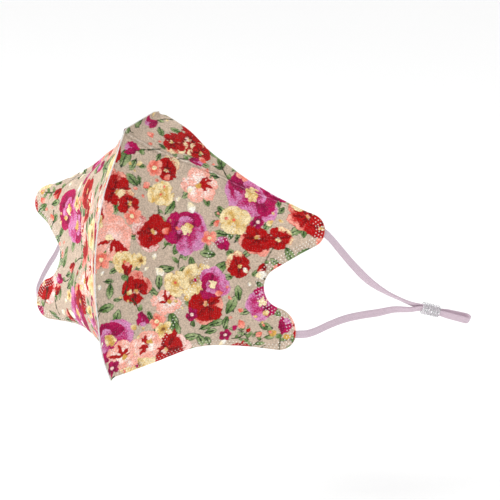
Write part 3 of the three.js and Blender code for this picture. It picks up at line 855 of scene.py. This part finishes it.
def nonwoven(name, speckle, printed_on):
    """Bonded fibres: a pit with a paler middle at each bonding point, and fine fibres all over that
    take more or less of the dye, by up to half the speckle either way."""
    dull = {"Roughness": 0.85, "Specular IOR Level": 0.15, "Sheen Weight": 0.05, "Sheen Roughness": 0.5}
    material, tree, shader = node_material(name, dull)
    place = add_node(tree, "ShaderNodeTexCoord").outputs["Object"]
    bonds = add_node(tree, "ShaderNodeTexVoronoi", {"Vector": place, "Scale": 1 / BOND, "Randomness": 0.55})
    pit = calculate("MULTIPLY_ADD", bonds.outputs["Distance"], -3.0, 1.0)
    pit = calculate("SMOOTH_MAX", pit, 0.0, 0.2)
    fibre = noise(tree, place, 1150.0, roughness=0.6)
    dye = UNDYED
    if printed_on:
        dye = add_node(tree, "ShaderNodeAttribute", attribute_name="print").outputs["Color"]
    light = calculate("MULTIPLY_ADD", fibre, speckle, 1 - speckle / 2)
    patches = calculate("MULTIPLY_ADD", noise(tree, place, 420.0), 0.32, 0.84)
    light = calculate("MULTIPLY", light, patches)
    grey = add_node(tree, "ShaderNodeCombineColor", {"Red": light, "Green": light, "Blue": light})
    shaded = blend(tree, 1.0, dye, grey.outputs["Color"], "MULTIPLY")
    pale = blend(tree, calculate("MULTIPLY", pit, 0.16), shaded, BONDED)
    tree.links.new(pale, shader.inputs["Base Color"])
    add_bump(tree, shader, calculate("SUBTRACT", calculate("MULTIPLY", fibre, 0.8), pit), 0.8)
    return material


cloth = nonwoven("printed_cloth", 1.4, True)
lining = nonwoven("white_nonwoven", 0.5, False)


def border(rows, columns):
    """Vertex numbers round the edge of a grid, in order."""
    n = np.arange(rows * columns).reshape(rows, columns)
    return np.r_[n[0, :-1], n[:-1, -1], n[-1, :0:-1], n[:0:-1, 0]]


def ply_piece(name, grid, edge_to, hand, inside=False):
    """One ply from its grid of points, with a skirt from its border to the points `edge_to`. The
    faces of an outer ply point away from the wearer, those of an inner ply the other way."""
    rows, columns = grid.shape[:2]
    rim = border(rows, columns)
    flat = grid.reshape(-1, 3)
    points = np.vstack([flat, flat[rim], edge_to.reshape(-1, 3)[rim]]) * np.array([hand, 1, 1]) * MM
    here = len(flat) + np.arange(len(rim))
    after = np.roll(here, -1)
    skirt = np.stack([after, here, here + len(rim), after + len(rim)], axis=-1)
    quads = np.vstack([grid_quads(rows, columns), skirt])
    if (hand < 0) != inside:
        quads = quads[:, ::-1]
    return make_piece(name, points, quads)


SCREEN = 2.2  # the power that turns a dye as it looks on a screen into an amount of light
RAW_EDGE = 0.6  # grey of the unprinted cut edge


def printed(piece, dyes):
    """Stores the dyes, with any painted highlight and shadow among them, on the piece's points in their
    order, and the raw edge's grey on the rest.
    """
    paint = np.full((len(piece.data.vertices), 4), RAW_EDGE)
    paint[: len(dyes), :3] = dyes**SCREEN
    paint[:, 3] = 1
    layer = piece.data.color_attributes.new("print", "FLOAT_COLOR", "POINT")
    layer.data.foreach_set("color", paint.ravel())


# The wall is thinner where the flange is pressed. The plies meet at its middle, round the border.
# The plain ply has a point for every third one of the printed ply.
STEP = 3
pressed = 1 - smooth_step((to_cut - FLANGE) / PARTING)
thin = WALL - (GAP / 2 + WALL - PLY_OUT) * pressed
middle = outer - normals * (thin * 0.5)[..., None]
inner = outer - normals * thin[..., None]
pick = np.ix_(*(np.unique(np.r_[0:count:STEP, count - 1]) for count in outer.shape[:2]))
HALVES = (("left", 1, 14), ("right", -1, 13))  # side, sign of X, and the seed of its print
prints_and_painted_light = {}
for side, hand, seed in HALVES:
    # the print with its wear, a painted highlight on the crease and a painted shadow beside it
    prints_and_painted_light[side] = wear_and_painted_light(garden(flat_x.ravel(), flat_y.ravel(), seed), seed)
    ply = ply_piece(f"{side}_outer_ply", outer, middle, hand)
    printed(ply, prints_and_painted_light[side])
    ply.data.materials.append(cloth)
    lined = ply_piece(f"{side}_inner_ply", inner[pick], middle[pick], hand, inside=True)
    lined.data.materials.append(lining)
    for piece in (ply, lined):
        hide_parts(f"{side}_panel")
        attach(piece, "root")


# --- Weld points ---
# Rows of small spots where the plies are melted together. They stand up a little and look pale:
# along the bottom edge, round the lobes and the notch, and down the side from notch to chin.
POINT = {"pitch": 1.9, "radius": 0.45, "high": 0.2, "sides": 8}
# A bead's rings, each a share of its radius and of its height, and the heights of its two poles.
RINGS, POLES = ((0.6, -0.5), (1.0, 0.0), (0.7, 0.75)), (-0.7, 1.0)
FIRST_COLUMN = FLANGE_COLUMNS + 6  # where the rows along the bottom edge begin
# Insets of the rows from their own line, and whether they stand half a pitch on.
BORDER_ROWS = [(1.5, False), (3.0, True)]
REAR_ROW = (4.6, False)
TACK_ROWS = [(0, False), (1.6, True)]
# The line of the rows down the side, level and up on the panel laid flat.
TACK_LINE = [(50.1, 11.7), (46.8, 4.8), (40.2, 2.4), (31.4, -11.1), (22, -23.9), (16.8, -31.6)]
TACK_LINE += [(13.3, -40.8), (9.7, -48.5), (6.6, -55.4)]
PALER = 0.7  # how far a weld point's dye is blended to white


def spaced(line, inset, half_on):
    """Places one pitch apart on a flat line moved square to itself, to its left, or halfway between
    those places."""
    way = unit(np.gradient(line, axis=0))
    moved = line + np.stack([-way[:, 1], way[:, 0]], axis=-1) * inset
    length = np.linalg.norm(np.diff(moved, axis=0), axis=1).sum()
    places = even_steps(moved, round(length / POINT["pitch"]))
    return (places[1:] + places[:-1]) / 2 if half_on else places


def weld_points(name, hand, dyes):
    """One mesh of small flattened beads on the outer ply, each placed from its nearest point of the
    grid and dyed like it, but paler. Each is closed by a fan of triangles to a pole at either end."""
    border_line = np.vstack([flat_places[0, FIRST_COLUMN:], flat_places[1:SIDE, -1]])
    rows = [(border_line, row) for row in BORDER_ROWS] + [(flat_places[:SIDE, -1], REAR_ROW)]
    rows += [(smooth_line(TACK_LINE, 60), row) for row in TACK_ROWS]
    places = np.vstack([spaced(line, *row) for line, row in rows])
    grid = flat_places[: SIDE + 1].reshape(-1, 2)
    nearest = np.array([np.argmin(np.sum((grid - place) ** 2, axis=1)) for place in places])
    up = normals.reshape(-1, 3)[nearest]
    middle = outer.reshape(-1, 3)[nearest] + (places - grid[nearest]) @ side_axes
    first = unit(side_axes[0] - up * (up @ side_axes[0])[:, None])
    second = np.cross(up, first)
    sides = POINT["sides"]
    turn = round_circle(sides)[:, None]
    circle = first[:, None] * np.cos(turn) + second[:, None] * np.sin(turn)
    middle, up = middle[:, None], up[:, None]
    rings = [middle + circle * share * POINT["radius"] + up * high * POINT["high"] for share, high in RINGS]
    low, top = (middle + up * high * POINT["high"] for high in POLES)
    beads = np.concatenate([low, *rings, top], axis=1)
    last = sides * len(RINGS) + 1
    fans = np.vstack([fan(0, 1, sides)[:, ::-1], fan(last, last - sides, sides)])
    shift = (np.arange(len(beads)) * (last + 1))[:, None, None]
    quads = (grid_quads(len(RINGS), sides, closed=True, first=1) + shift).reshape(-1, 4)
    fans = (fans + shift).reshape(-1, 3)
    if hand < 0:
        quads, fans = quads[:, ::-1], fans[:, ::-1]
    piece = make_piece(name, beads.reshape(-1, 3) * np.array([hand, 1, 1]) * MM, quads, fans)
    pale = dyes[nearest] + (DYES["white"] - dyes[nearest]) * PALER
    printed(piece, np.repeat(pale, last + 1, axis=0))
    return piece


for side, hand, _ in HALVES:
    dots = weld_points(f"{side}_weld_points", hand, prints_and_painted_light[side])
    dots.data.materials.append(cloth)
    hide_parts(f"{side}_panel")
    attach(dots, "root")


# --- Floor, backdrop and lights ---
# A plain white floor well below the mask, lit faintly from within as a light table is, an even
# white sky, and two soft lamps: a bright one high on the wearer's right and a weak one in front.
FLOOR_REACH, FLOOR_Z = 4, -0.16  # in metres, like the lamps' places
# Name, watts, size and place of each lamp.
LAMPS = [("key", 15, 0.8, (-0.9, -0.8, 1.05)), ("fill", 2, 0.7, (0.2, -1.3, 1.1))]
corners = [(x * FLOOR_REACH, y * FLOOR_REACH, FLOOR_Z) for x, y in ((-1, -1), (1, -1), (1, 1), (-1, 1))]
floor = make_piece("floor", np.array(corners), np.array([[0, 1, 2, 3]]))
lit = {"Base Color": (0.96, 0.96, 0.96, 1), "Emission Color": (1, 1, 1, 1), "Emission Strength": 0.1}
floor.data.materials.append(node_material("white_floor", lit)[0])

world = bpy.data.worlds.new("world")
world.use_nodes = True
scene.world = world
sky = world.node_tree.nodes["Background"]
sky.inputs["Color"].default_value = (1, 1, 1, 1)
sky.inputs["Strength"].default_value = 0.86
for name, watts, size, place in LAMPS:
    lamp = bpy.data.lights.new(name, "AREA")
    lamp.size = size
    lamp.energy = watts
    light = in_scene(name, lamp)
    light.location = place
    light.rotation_mode = "QUATERNION"
    light.rotation_quaternion = (-light.location).to_track_quat("-Z", "Y")
scene.view_settings.view_transform = "Standard"
